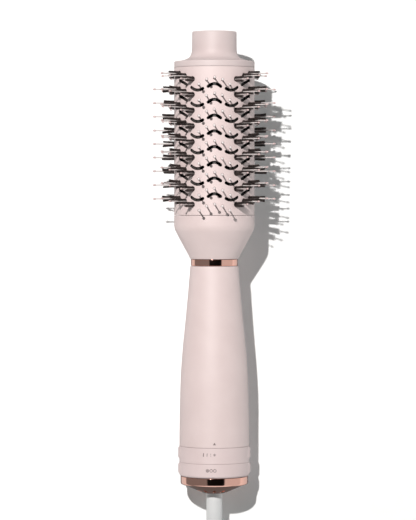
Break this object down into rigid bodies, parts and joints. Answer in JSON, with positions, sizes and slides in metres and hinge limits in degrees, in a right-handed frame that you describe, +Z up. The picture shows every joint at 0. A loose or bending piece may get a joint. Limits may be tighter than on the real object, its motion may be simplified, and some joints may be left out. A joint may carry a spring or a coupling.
{
  "type": "hot air brush",
  "caption": "Corded hot air styling brush: round bristled barrel with air slots and a cool tip, a tapered motor handle, two rotary tail dials and a swivel cord.",
  "frame": {"origin": "centre of the brush's bounding box on the surface it lies on, without the free cord", "axes": "+Z up, +Y along the brush towards the cool tip, +X to the right when the dial marks face up; the brush axis rises 5.6 degrees towards +Y"},
  "size_m": [0.1319, 0.5806, 0.1058],
  "materials": {
    "blush_plastic": "satin moulded blush pink",
    "rose_gold": "mirror-bright plated rose gold",
    "nylon_pin": "translucent nylon with round tips",
    "tuft_fibre": "dark bristle filaments",
    "black_plastic": "moulded black",
    "steel": "plain steel",
    "copper": "copper winding and contacts",
    "mica": "pressed mica",
    "circuit_board": "green board",
    "white_plastic": "moulded white",
    "cord_grey": "soft pale grey cord sleeve"
  },
  "bodies": {
    "housing": {"cool_tip": "blush_plastic", "barrel": "blush_plastic", "pin_comb_front": "nylon_pin", "pin_comb_back": "nylon_pin", "tuft_comb_front_right": "tuft_fibre", "tuft_comb_front_left": "tuft_fibre", "tuft_comb_back_right": "tuft_fibre", "tuft_comb_back_left": "tuft_fibre", "tuft_strip_right": "tuft_fibre", "tuft_strip_left": "tuft_fibre", "air_guide": "black_plastic", "tie_rod": "steel", "head_collar": "blush_plastic", "neck_ring": "rose_gold", "neck_frame": "black_plastic", "handle_shell": "blush_plastic", "chassis": "black_plastic", "switch_board": "circuit_board", "heat_detent": "steel", "speed_detent": "steel", "base_cap": "rose_gold", "base_screw_left": "steel", "base_screw_right": "steel", "inlet_filter": "black_plastic", "swivel_retainer": "black_plastic", "motor_can": "steel", "motor_end_cap": "black_plastic", "bearing_fan_end": "steel", "bearing_heater_end": "steel", "motor_magnet": "black_plastic", "carbon_brush_left": "black_plastic", "carbon_brush_right": "black_plastic", "stator_vanes": "white_plastic", "mica_board_wide": "mica", "mica_board_cross": "mica", "heater_coil": "steel", "mica_sleeve": "mica", "thermostat": "steel", "thermal_fuse": "steel", "control_board": "circuit_board", "capacitor": "black_plastic", "ionizer": "white_plastic", "ion_needle": "steel", "cord_lead": "cord_grey", "cord_coil": "cord_grey", "cord_tail": "cord_grey", "cord_tie": "black_plastic", "plug_body": "cord_grey", "plug_blade_left": "steel", "plug_blade_right": "steel"},
    "heat_dial": {"heat_dial": "blush_plastic", "heat_wiper": "copper"},
    "speed_dial": {"speed_dial": "blush_plastic", "speed_wiper": "copper"},
    "rotor": {"motor_shaft": "steel", "impeller": "white_plastic", "armature": "copper", "commutator": "copper"},
    "cord_swivel": {"strain_relief": "cord_grey"}
  },
  "joints": [
    {"name": "heat_dial_turn", "type": "hinge", "parent": "housing", "child": "heat_dial", "pos_m": [0, -0.15765, 0.02601], "axis": [0, 0.9953, 0.0972], "range_deg": [0, 18]},
    {"name": "speed_dial_turn", "type": "hinge", "parent": "housing", "child": "speed_dial", "pos_m": [0, -0.15765, 0.02601], "axis": [0, 0.9953, 0.0972], "range_deg": [0, 12]},
    {"name": "rotor_spin", "type": "hinge", "parent": "housing", "child": "rotor", "pos_m": [0, -0.15765, 0.02601], "axis": [0, 0.9953, 0.0972], "continuous": true},
    {"name": "cord_swivel_turn", "type": "hinge", "parent": "housing", "child": "cord_swivel", "pos_m": [0, -0.15765, 0.02601], "axis": [0, 0.9953, 0.0972], "continuous": true}
  ]
}
